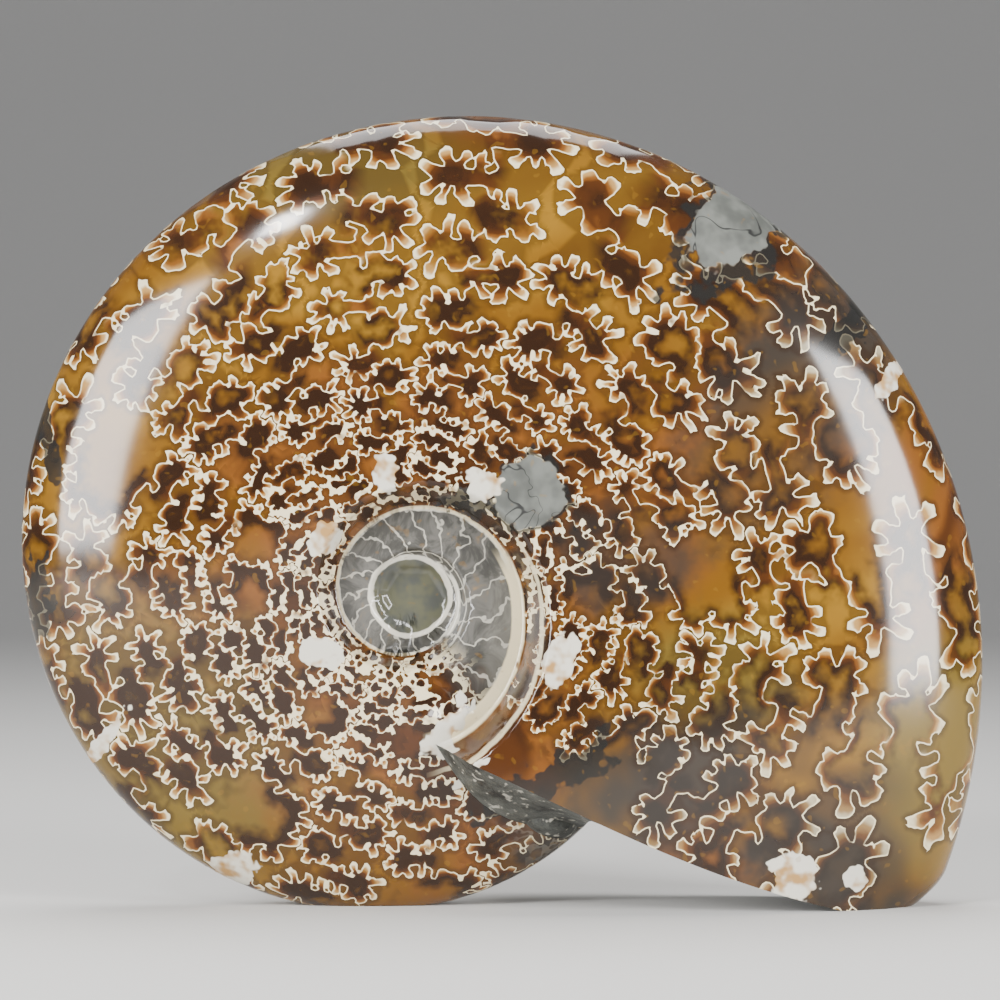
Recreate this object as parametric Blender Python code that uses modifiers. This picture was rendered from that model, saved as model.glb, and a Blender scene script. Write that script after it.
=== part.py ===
"""A polished ammonite: one solid stone coil that stands on two small ground flats.

The shell grows on logarithmic spirals about one axis, which runs along Y. The front half of the stone is lofted
from rows across the whorl, mirrored to give the other flank, and then ground flat where it stands.
Metres, +Z up, the flanks facing -Y and +Y, the aperture low at +X.
"""

import math

import bmesh
import bpy
from mathutils import Vector

MM = 0.001
TURN = 360.0

# The coil. Growth angles are in degrees: 0 points to +X, and they grow clockwise seen from the front.
AXIS = Vector((-12.26 * MM, 41.5 * MM))
VENTER_RADIUS = 76.0 * MM  # outer edge of the whorl at growth angle 0
VENTER_GROWTH = 0.1257  # per radian
FULLNESS = 0.012  # the middle of the last turn stands a little outside its spiral
FULL_FROM, FULL_SPAN = -230.0, 250.0
SEAM_RADIUS = 14.6 * MM  # inner edge of the whorl at growth angle 0
SEAM_GROWTH = 0.135
SEAM_FLARE = 0.12  # the seam swings out over the last quarter turn
HALF_BREADTH = 14.7 * MM  # half the thickness of the whorl at growth angle 0
BREADTH_GROWTH = 0.105

# The section across a whorl, from the seam at 0 to the venter at 1.
DOME_POWER = 2.4
DOME_ROUNDNESS = 2.3
SHOULDER = 0.065  # where the umbilical wall reaches the flank
SEAM_RIDGE = 0.5 * MM  # the calcite cord that stands along the seam
LIP_ROLL = Vector((-6.9 * MM, 25.4 * MM))  # where the seam ends in a rounded roll of shell
LIP_ROLL_HEIGHT = 1.5 * MM
LIP_ROLL_REACH = 2.8 * MM

# The stretch of the spiral that shows, and how finely it is divided.
FIRST_ANGLE = -640.0
LAST_ANGLE = 80.0
ROW_STEP = 5.0
INNER_COLUMNS = 4
WALL_COLUMNS = 2
FLANK_COLUMNS = 15
CENTRE_RINGS = (0.7, 0.4)
CENTRE_SINK = 0.5 * MM

# The aperture: its edge on the flank, and the foot of the lip on the whorl below.
TIP_ANGLE = 33.5
EDGE_SAG = Vector((0.0, -2.4 * MM))
EDGE_SAG_SKEW = 1.3
EDGE_LEAN_FROM = -100.0
FOOT_ANGLE = -307.0
FOOT_SAG = Vector((-2.0 * MM, -3.5 * MM))
FOOT_LEAN_TO = -200.0
APERTURE_HOLLOW = 1.5 * MM
TIP_ROUNDING = 3.0 * MM
TIP_ROUNDING_FROM, TIP_ROUNDING_SPAN = 27.0, 7.0

# What is ground off, broken off and left on.
GRINDER_SIZE = 200 * MM
CHIP_PLACE = (-37.0 * MM, -8.4 * MM, 4.2 * MM)
CHIP_SIZE = (11.0 * MM, 4.0 * MM, 4.6 * MM)
CHIP_TURN = (math.radians(28), math.radians(-30), 0.0)
LUMP_PLACE = (5.4 * MM, 0.0, 12.4 * MM)
LUMP_SIZE = (10.5 * MM, 14.6 * MM, 6.4 * MM)
LUMP_TURN = (0.0, math.radians(24), 0.0)

STONE_COLOUR = (0.30, 0.13, 0.035, 1.0)


def soft_step(value):
    """A step from 0 to 1 with soft ends."""
    value = min(max(value, 0.0), 1.0)
    return value * value * (3 - 2 * value)


def venter_radius(angle):
    """Distance from the axis to the outer edge of the whorl."""
    along = min(max((angle - FULL_FROM) / FULL_SPAN, 0.0), 1.0)
    full = 1 + FULLNESS * (1 - math.cos(math.tau * along))
    rounding = TIP_ROUNDING * soft_step((angle - TIP_ROUNDING_FROM) / TIP_ROUNDING_SPAN)
    return VENTER_RADIUS * full * math.exp(VENTER_GROWTH * math.radians(angle)) - rounding


def seam_radius(angle):
    """Distance from the axis to the inner edge of the whorl."""
    flare = 1 + SEAM_FLARE * soft_step(angle / LAST_ANGLE)
    return SEAM_RADIUS * flare * math.exp(SEAM_GROWTH * math.radians(angle))


def half_breadth(angle):
    """Half the thickness of the whorl."""
    return HALF_BREADTH * math.exp(BREADTH_GROWTH * math.radians(angle))


def dome(part):
    """Half thickness part way across the flank, as a share of the largest one."""
    return (1 - min(part, 1.0) ** DOME_POWER) ** (1 / DOME_ROUNDNESS)


def radius_at(angle, part):
    """Distance from the axis, part way from the seam to the venter."""
    return seam_radius(angle) + (venter_radius(angle) - seam_radius(angle)) * part


def part_at(angle, radius):
    """How far a radius lies from the seam to the venter."""
    return (radius - seam_radius(angle)) / (venter_radius(angle) - seam_radius(angle))


def lip_roll(angle, part):
    """Height of the roll of shell at the end of the seam."""
    away = (plan_point(angle, radius_at(angle, part)) - LIP_ROLL).length / LIP_ROLL_REACH
    return LIP_ROLL_HEIGHT * math.exp(-away * away)


def flank_height(angle, part):
    """Distance of the flank from the middle plane."""
    flank = half_breadth(angle) * dome(part)
    if part < 1:
        flank += lip_roll(angle, part)
    if part >= SHOULDER:
        return flank
    below = angle - TURN
    foot = half_breadth(below) * dome(part_at(below, seam_radius(angle))) + SEAM_RIDGE
    return foot + (flank - foot) * soft_step(part / SHOULDER)


def plan_point(angle, radius):
    """The point in the XZ plane at a growth angle and a distance from the axis."""
    turn = math.radians(angle)
    return AXIS + radius * Vector((math.cos(turn), -math.sin(turn)))


def spiral_place(point, near):
    """Growth angle close to the given one, and part of the way across the whorl, of a point in the XZ plane."""
    arm = point - AXIS
    angle = math.degrees(math.atan2(-arm.y, arm.x))
    angle += TURN * round((near - angle) / TURN)
    return angle, part_at(angle, arm.length)


def column_parts():
    """Places of the columns across the whorl, closer together on the umbilical wall and round the venter."""
    wall = [SHOULDER * i / WALL_COLUMNS for i in range(WALL_COLUMNS)]
    quarter = math.pi / 2 / FLANK_COLUMNS
    return wall + [SHOULDER + (1 - SHOULDER) * math.sin(quarter * i) for i in range(FLANK_COLUMNS + 1)]


def edge_places(parts):
    """Spiral places of the aperture's edge, from the seam's end to the tip."""
    start = plan_point(LAST_ANGLE, seam_radius(LAST_ANGLE))
    tip = plan_point(TIP_ANGLE, venter_radius(TIP_ANGLE))
    places = []
    for part in parts:
        sag = EDGE_SAG * math.sin(math.pi * part**EDGE_SAG_SKEW)
        near = LAST_ANGLE + (TIP_ANGLE - LAST_ANGLE) * part
        places.append(spiral_place(start.lerp(tip, part) + sag, near))
    return places


def foot_places(count):
    """Spiral places of the lip's foot on the whorl below, from the seam's end to that whorl's venter."""
    start = plan_point(LAST_ANGLE, seam_radius(LAST_ANGLE))
    end = plan_point(FOOT_ANGLE, venter_radius(FOOT_ANGLE))
    places = []
    for i in range(1, count + 1):
        part = math.sin(math.pi / 2 * i / count)
        near = LAST_ANGLE - TURN + (FOOT_ANGLE - LAST_ANGLE + TURN) * part
        places.append(spiral_place(start.lerp(end, part) + FOOT_SAG * math.sin(math.pi * part), near))
    return places


class HalfStone:
    """The front half of the stone as a mesh that is open at the middle plane."""

    def __init__(self):
        self.mesh = bmesh.new()
        self.rows = round((LAST_ANGLE - FIRST_ANGLE) / ROW_STEP)
        self.turn_rows = round(TURN / ROW_STEP)
        self.parts = column_parts()
        self.seam = [self.vertex(self.angle(i), 0.0) for i in range(self.rows + 1)]

    def angle(self, i):
        return FIRST_ANGLE + ROW_STEP * i

    def vertex(self, angle, part):
        place = plan_point(angle, radius_at(angle, part))
        return self.mesh.verts.new((place.x, -flank_height(angle, part), place.y))

    def inner_row(self, i):
        """The part of a row that shows in the umbilicus, from its own seam to the next turn's."""
        angle = self.angle(i)
        cover = part_at(angle, seam_radius(angle + TURN))
        between = [self.vertex(angle, cover * j / INNER_COLUMNS) for j in range(1, INNER_COLUMNS)]
        return [self.seam[i], *between, self.seam[i + self.turn_rows]]

    def outer_rows(self):
        """The rows of the last turn, which lean to the lip's foot at one end and to the aperture at the other."""
        first = self.rows - self.turn_rows
        start = self.angle(first)
        inner = self.inner_row(first)
        foot = foot_places(len(self.parts) - len(inner))
        cover = part_at(start, seam_radius(start + TURN))
        inside = [(start, cover * j / INNER_COLUMNS) for j in range(len(inner))]
        starts = inside + foot
        ends = edge_places(self.parts)
        rows = [inner + [self.vertex(*place) for place in foot]]
        for i in range(first + 1, self.rows + 1):
            angle = self.angle(i)
            to_foot = soft_step((FOOT_LEAN_TO - angle) / (FOOT_LEAN_TO - start))
            to_edge = soft_step((angle - EDGE_LEAN_FROM) / (LAST_ANGLE - EDGE_LEAN_FROM))
            row = [self.seam[i]]
            for part, first_place, last_place in list(zip(self.parts, starts, ends))[1:]:
                lean = (first_place[0] - start) * to_foot + (last_place[0] - LAST_ANGLE) * to_edge
                shift = (first_place[1] - part) * to_foot + (last_place[1] - part) * to_edge
                row.append(self.vertex(angle + lean, part + shift))
            rows.append(row)
        return rows

    def join(self, before, after):
        """Faces between two rows with the same number of points."""
        for a, b, c, d in zip(before, before[1:], after[1:], after):
            self.mesh.faces.new((a, b, c, d))

    def centre(self, row):
        """Closes the innermost turn with a shallow disc."""
        loop = self.seam[: self.turn_rows] + row[:0:-1]
        hub = Vector((AXIS.x, 0.0, AXIS.y))
        for scale in CENTRE_RINGS:
            ring = []
            for outer in loop:
                point = hub.lerp(outer.co, scale)
                ring.append(self.mesh.verts.new((point.x, row[0].co.y + CENTRE_SINK, point.z)))
            for a, b, c, d in zip(loop, loop[1:] + loop[:1], ring[1:] + ring[:1], ring):
                self.mesh.faces.new((a, b, c, d))
            loop = ring
        self.mesh.faces.new(loop)

    def aperture(self, foot, edge):
        """The wall from the lip down to the whorl below, and the stone face beyond that whorl."""
        wall = min(range(len(edge)), key=lambda j: (edge[j].co - foot[-1].co).to_2d().x ** 2)
        low, high = foot[INNER_COLUMNS:], edge[: wall + 1]
        while len(low) > 1 or len(high) > 1:
            take_low = len(high) == 1 or (len(low) > 1 and len(low) * wall >= len(high) * (len(foot) - INNER_COLUMNS))
            corner = low[1] if take_low else high[1]
            if low[0] is not high[0]:
                self.mesh.faces.new((low[0], high[0], corner))
            if take_low:
                low = low[1:]
            else:
                high = high[1:]
        before = foot[-1]
        for j in range(wall, len(edge) - 1):
            far = edge[j + 1]
            if far is edge[-1]:
                self.mesh.faces.new((before, edge[j], far))
                break
            middle = self.mesh.verts.new((far.co.x - APERTURE_HOLLOW / 2, 0.0, far.co.z + APERTURE_HOLLOW))
            self.mesh.faces.new((before, edge[j], far, middle))
            before = middle

    def build(self):
        inner = [self.inner_row(i) for i in range(self.rows - self.turn_rows)]
        outer = self.outer_rows()
        for before, after in zip(inner, inner[1:] + [outer[0][: INNER_COLUMNS + 1]]):
            self.join(before, after)
        for before, after in zip(outer, outer[1:]):
            self.join(before, after)
        self.centre(inner[0])
        self.aperture(outer[0], outer[-1])
        bmesh.ops.recalc_face_normals(self.mesh, faces=self.mesh.faces[:])
        data = bpy.data.meshes.new("ammonite")
        self.mesh.to_mesh(data)
        self.mesh.free()
        return data


def stone_material():
    material = bpy.data.materials.new("polished_stone")
    material.use_nodes = True
    shader = material.node_tree.nodes["Principled BSDF"]
    shader.inputs["Base Color"].default_value = STONE_COLOUR
    shader.inputs["Roughness"].default_value = 0.12
    shader.inputs["Metallic"].default_value = 0.0
    return material


def collection(name):
    made = bpy.data.collections.new(name)
    bpy.context.scene.collection.children.link(made)
    return made


def helper(shape, name, place, size, turn, group):
    """A hidden solid for a Boolean: a cube or a ball of the given full size."""
    mesh = bmesh.new()
    if shape == "cube":
        bmesh.ops.create_cube(mesh, size=1.0)
    else:
        bmesh.ops.create_icosphere(mesh, subdivisions=2, radius=0.5)
    bmesh.ops.scale(mesh, vec=size, verts=mesh.verts[:])
    data = bpy.data.meshes.new(name)
    mesh.to_mesh(data)
    mesh.free()
    made = bpy.data.objects.new(name, data)
    made.location = place
    made.rotation_euler = turn
    made.hide_render = True
    made.display_type = "WIRE"
    group.objects.link(made)
    return made


def combine(stone, other, operation):
    modifier = stone.modifiers.new(other.name, "BOOLEAN")
    modifier.object = other
    modifier.operation = operation
    modifier.solver = "EXACT"


def main():
    for old in list(bpy.data.objects):
        bpy.data.objects.remove(old, do_unlink=True)
    parts, cutters = collection("ammonite_parts"), collection("ammonite_helpers")
    stone = bpy.data.objects.new("ammonite", HalfStone().build())
    stone.data.materials.append(stone_material())
    parts.objects.link(stone)
    mirror = stone.modifiers.new("other_flank", "MIRROR")
    mirror.use_axis = (False, True, False)
    mirror.merge_threshold = 0.00001
    lump = helper("ball", "matrix_lump", LUMP_PLACE, LUMP_SIZE, LUMP_TURN, cutters)
    chip = helper("cube", "rim_chip", CHIP_PLACE, CHIP_SIZE, CHIP_TURN, cutters)
    below = (0.0, 0.0, -GRINDER_SIZE / 2)
    grinder = helper("cube", "ground", below, (GRINDER_SIZE,) * 3, (0.0, 0.0, 0.0), cutters)
    combine(stone, lump, "UNION")
    combine(stone, chip, "DIFFERENCE")
    combine(stone, grinder, "DIFFERENCE")
    stone.data.shade_smooth()
    stone.data.set_sharp_from_angle(angle=math.radians(40))


main()
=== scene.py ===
"""A polished ammonite, its suture lines cut open by the polish, photographed from the front.

The flank is one fine mesh whose edges follow the suture lines, so that the lines, the pale glow in the
leaves along them and the dark border beside them are drawn from distances kept in mesh attributes.
Metres, +Z up, the front flank facing -Y, growth angles in degrees clockwise from +X seen from the front.
"""

import logging
import math
from dataclasses import dataclass, field
from enum import Enum
from typing import Sequence

import bpy
import numpy as np
from mathutils import Euler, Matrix, Vector, geometry, kdtree

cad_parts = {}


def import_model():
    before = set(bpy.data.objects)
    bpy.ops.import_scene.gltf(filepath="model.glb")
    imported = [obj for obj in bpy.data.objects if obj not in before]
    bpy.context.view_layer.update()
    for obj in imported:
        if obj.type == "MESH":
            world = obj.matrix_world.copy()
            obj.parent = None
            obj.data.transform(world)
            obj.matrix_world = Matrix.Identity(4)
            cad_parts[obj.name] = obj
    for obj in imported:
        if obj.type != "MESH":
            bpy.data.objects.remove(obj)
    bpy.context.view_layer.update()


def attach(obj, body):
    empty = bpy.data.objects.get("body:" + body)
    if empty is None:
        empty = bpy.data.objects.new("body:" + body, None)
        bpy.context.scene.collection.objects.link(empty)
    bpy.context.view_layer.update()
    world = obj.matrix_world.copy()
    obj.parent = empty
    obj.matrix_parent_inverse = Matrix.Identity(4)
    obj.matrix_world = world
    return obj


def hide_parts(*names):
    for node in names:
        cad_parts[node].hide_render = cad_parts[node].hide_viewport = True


LOG = logging.getLogger("ammonite")
MM = 0.001
TURN = 360.0
FAR = 20.0 * MM
TINY = 1e-12
JUST_BEHIND = 1e-9
PAST_LAST = 1.001
Array = np.ndarray
Colour = tuple[float, float, float]
Shapes = list[tuple[Array, float, Array, float]]


def soft_step(value: Array | float) -> Array:
    """A step from 0 to 1 with soft ends."""
    value = np.clip(value, 0.0, 1.0)
    return value * value * (3 - 2 * value)


@dataclass(frozen=True)
class Coil:
    """The growth of the shell: the same spirals as the CAD part, for whole arrays of places."""

    axis: tuple[float, float] = (-12.26 * MM, 41.5 * MM)
    venter: float = 76.0 * MM
    venter_growth: float = 0.1257
    fullness: float = 0.012
    full_from: float = -230.0
    full_span: float = 250.0
    seam: float = 14.6 * MM
    seam_growth: float = 0.135
    seam_flare: float = 0.12
    breadth: float = 14.45 * MM
    breadth_growth: float = 0.105
    dome_power: float = 2.4
    dome_roundness: float = 2.3
    shoulder: float = 0.065
    ridge: float = 0.5 * MM
    roll: tuple[float, float] = (-6.9 * MM, 25.4 * MM)
    roll_height: float = 1.5 * MM
    roll_reach: float = 2.8 * MM
    first: float = -640.0
    last: float = 80.0
    tip: float = 33.5
    foot: float = -307.0
    tip_rounding: float = 3.0 * MM
    tip_round_from: float = 27.0
    tip_round_span: float = 7.0
    aspect: float = 0.25
    section_steps: int = 4000
    centre_sink: float = 0.5 * MM
    centre_flat: float = 0.7
    centre_slope: float = 0.3
    centre_ramp: float = 50.0

    def venter_radius(self, angle: Array) -> Array:
        """Distance from the axis to the outer edge of the whorl."""
        along = np.clip((angle - self.full_from) / self.full_span, 0.0, 1.0)
        full = 1 + self.fullness * (1 - np.cos(math.tau * along))
        rounding = self.tip_rounding * soft_step((angle - self.tip_round_from) / self.tip_round_span)
        return self.venter * full * np.exp(self.venter_growth * np.radians(angle)) - rounding

    def seam_radius(self, angle: Array) -> Array:
        """Distance from the axis to the inner edge of the whorl."""
        flare = 1 + self.seam_flare * soft_step(angle / self.last)
        return self.seam * flare * np.exp(self.seam_growth * np.radians(angle))

    def half_breadth(self, angle: Array) -> Array:
        """Half the thickness of the whorl."""
        return self.breadth * np.exp(self.breadth_growth * np.radians(angle))

    def dome(self, part: Array) -> Array:
        """Half thickness part way across the flank, as a share of the largest one."""
        part = np.clip(part, 0.0, 1.0)
        return (1 - part**self.dome_power) ** (1 / self.dome_roundness)

    def width(self, angle: Array) -> Array:
        """Distance from the seam to the venter."""
        return self.venter_radius(angle) - self.seam_radius(angle)

    def unrolled(self) -> tuple[Array, Array]:
        """Places across the whorl, and the arc length of the section up to each, in whorl widths."""
        part = 1 - np.linspace(1.0, 0.0, self.section_steps) ** 2
        step = np.hypot(np.diff(part), self.aspect * np.diff(self.dome(part)))
        return part, np.concatenate([[0.0], np.cumsum(step)])

    def developed_radius(self, angle: Array, part: Array) -> Array:
        """Distance from the axis in the plan on which the curve of the flank is rolled flat."""
        table, length = self.unrolled()
        return self.seam_radius(angle) + self.width(angle) * np.interp(part, table, length)

    def part_of(self, angle: Array, developed: Array) -> Array:
        """Place across the whorl of a distance in the rolled-out plan."""
        table, length = self.unrolled()
        share = (developed - self.seam_radius(angle)) / self.width(angle)
        return np.interp(share, length, table, left=-1.0, right=2.0)

    def plan(self, angle: Array, radius: Array) -> Array:
        """Points in the XZ plane, or in the rolled-out plan."""
        turn = np.radians(angle)
        arm = np.stack([radius * np.cos(turn), -radius * np.sin(turn)], axis=-1)
        return arm + np.array(self.axis)

    def rolled_out(self, places: tuple[Array, Array]) -> Array:
        """Points in the rolled-out plan of growth angles and places across the whorl."""
        return self.plan(places[0], self.developed_radius(*places))

    def height(self, angle: Array, part: Array) -> Array:
        """Distance of the flank from the middle plane."""
        radius = self.seam_radius(angle) + self.width(angle) * part
        flank = self.half_breadth(angle) * self.dome(part)
        to_roll = self.plan(angle, radius) - np.array(self.roll)
        away = np.linalg.norm(to_roll, axis=-1) / self.roll_reach
        flank = flank + np.where(part < 1, self.roll_height * np.exp(-away * away), 0.0)
        below = angle - TURN
        under = (self.seam_radius(angle) - self.seam_radius(below)) / self.width(below)
        foot = self.half_breadth(below) * self.dome(under) + self.ridge
        step = foot + (flank - foot) * soft_step(part / self.shoulder)
        return np.where(part < self.shoulder, step, flank)

    def surface(self, angle: Array, developed: Array) -> Array:
        """Points of the front flank in space."""
        part = np.clip(self.part_of(angle, developed), 0.0, 1.0)
        whorl = self.height(angle, part)
        radius = self.seam_radius(angle) + self.width(angle) * part
        rim = self.height(np.maximum(angle, self.first), np.zeros_like(angle))
        level = self.height(np.full_like(angle, self.first), np.zeros_like(angle)) - self.centre_sink
        share = developed / self.seam_radius(angle)
        disc = level + (rim - level) * soft_step((share - self.centre_flat) / self.centre_slope)
        inside = developed < self.seam_radius(angle)
        ramp = soft_step((angle - self.first) / self.centre_ramp)
        whorl = level + (whorl - level) * ramp
        height = np.where(inside, disc, whorl)
        radius = np.where(inside, developed, radius)
        flat = self.plan(angle, radius)
        return np.stack([flat[..., 0], -height, flat[..., 1]], axis=-1)

    def polar(self, point: Array) -> tuple[Array, Array]:
        """Angle between -180 and 180 degrees and distance from the axis of points in a plan."""
        arm = point - np.array(self.axis)
        return np.degrees(np.arctan2(-arm[..., 1], arm[..., 0])), np.hypot(arm[..., 0], arm[..., 1])


def turned_near(angle: Array, near: Array) -> Array:
    """The angles with whole turns added until they lie nearest to the others."""
    return angle + TURN * np.round((near - angle) / TURN)


@dataclass(frozen=True)
class Opening:
    """The curves between which the front of the stone is broken away to the aperture face."""

    coil: Coil
    edge_sag: tuple[float, float] = (0.0, -2.4 * MM)
    edge_skew: float = 1.3
    foot_sag: tuple[float, float] = (-2.0 * MM, -3.5 * MM)
    count: int = 72

    def place(self, point: Array, near: Array) -> tuple[Array, Array]:
        """Growth angle close to the given one, and part across the whorl, of points in the XZ plane."""
        angle, radius = self.coil.polar(point)
        angle = turned_near(angle, near)
        return angle, (radius - self.coil.seam_radius(angle)) / self.coil.width(angle)

    def between(
        self, end_angle: float, turn: float, sag: Sequence[float], skew: float
    ) -> tuple[Array, Array]:
        """Places along a sagging line from the seam's end to the venter.

        Args:
            end_angle: growth angle where the line meets the venter.
            turn: 0 for a line on the last turn, -TURN for one on the turn below.
            sag: how far the middle of the line is moved in the XZ plane.
            skew: 1 for the deepest sag half way, more for one nearer the end.

        Returns:
            Growth angles and parts across the whorl.
        """
        coil = self.coil
        part = np.sin(np.linspace(0.0, math.pi / 2, self.count))
        part[-1] = 1.0
        start = coil.plan(coil.last, coil.seam_radius(coil.last))
        end = coil.plan(end_angle, coil.venter_radius(end_angle))
        line = start + (end - start) * part[:, None]
        line = line + np.array(sag) * np.sin(math.pi * part**skew)[:, None]
        near = coil.last + turn + (end_angle - coil.last - turn) * part
        angle, across = self.place(line, near)
        across[-1] = 1.0
        return angle, across

    def edge(self) -> tuple[Array, Array]:
        """The edge of the lip, from the seam's end to the tip."""
        return self.between(self.coil.tip, 0.0, self.edge_sag, self.edge_skew)

    def foot(self) -> tuple[Array, Array]:
        """The foot of the lip on the whorl below, from the seam's end to that whorl's venter."""
        return self.between(self.coil.foot, -TURN, self.foot_sag, 1.0)


@dataclass(frozen=True)
class LeafSizes:
    """Sizes of the leaves along a suture, as shares of the distance from the axis."""

    outer_period: float = 0.086
    inner_period: float = 0.104
    inward: float = 1.6
    outer_scale: float = 0.96
    inner_growth: float = 0.20
    past_venter: float = 0.06
    least_height: float = 0.05
    overlap: float = 0.008
    reach: float = 0.094
    trunk: float = 0.023
    fan: float = 2.0
    finger: float = 0.064
    finger_radius: float = 0.0125
    side_finger: float = 0.05
    side_turn: float = 1.35
    longest: float = 1.10
    shortening: float = 0.20
    knee: float = 0.55
    past_knee: float = 0.45
    root_width: float = 0.90
    knee_width: float = 0.85
    bump: float = 0.012
    bump_radius: float = 0.0078
    bump_end: float = 0.55
    side_bump: float = 0.004
    side_bump_root: float = 0.9
    side_bump_end: float = 0.65
    merge: float = 0.005
    margin: float = 0.035
    channel: float = 0.011
    gap: float = 0.007
    side_blend: float = 0.030
    blur: float = 0.02
    frill: float = 0.0026
    frill_reach: float = 0.008
    wave: float = 0.009
    wave_rate: float = 73.0
    wave_shift: float = 1.7
    ripple: float = 0.005
    ripple_rate: float = 151.0


@dataclass(frozen=True)
class LeafChances:
    """How much the leaves differ: ranges of shares, spreads in radians, and likelihoods."""

    width: tuple[float, float] = (0.90, 1.12)
    bend: float = 0.18
    three_bumps: float = 0.5
    bump_turns: tuple[tuple[float, ...], ...] = ((-0.95, 0.0, 0.95), (-0.55, 0.55))
    bump_spread: float = 0.12
    bump_length: tuple[float, float] = (0.95, 1.45)
    side_bump: float = 0.45
    side_bump_turn: float = 1.2
    side_bump_place: tuple[float, float] = (0.55, 0.75)
    lean: float = 0.22
    reach: tuple[float, float] = (0.88, 1.14)
    fingers: tuple[int, ...] = (5, 6, 6, 7)
    finger_length: tuple[float, float] = (0.84, 1.16)
    finger_spread: float = 0.10
    side_finger: float = 0.75
    side_finger_place: tuple[float, float] = (0.20, 0.38)
    side_finger_length: tuple[float, float] = (0.8, 1.1)
    side_finger_spread: float = 0.12
    size: tuple[float, float] = (0.92, 1.10)
    shift: float = 0.007
    period: tuple[float, float] = (0.92, 1.08)


def toward(heading: float) -> Array:
    """A unit step of ln radius and angle."""
    return np.array([math.cos(heading), math.sin(heading)])


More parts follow.
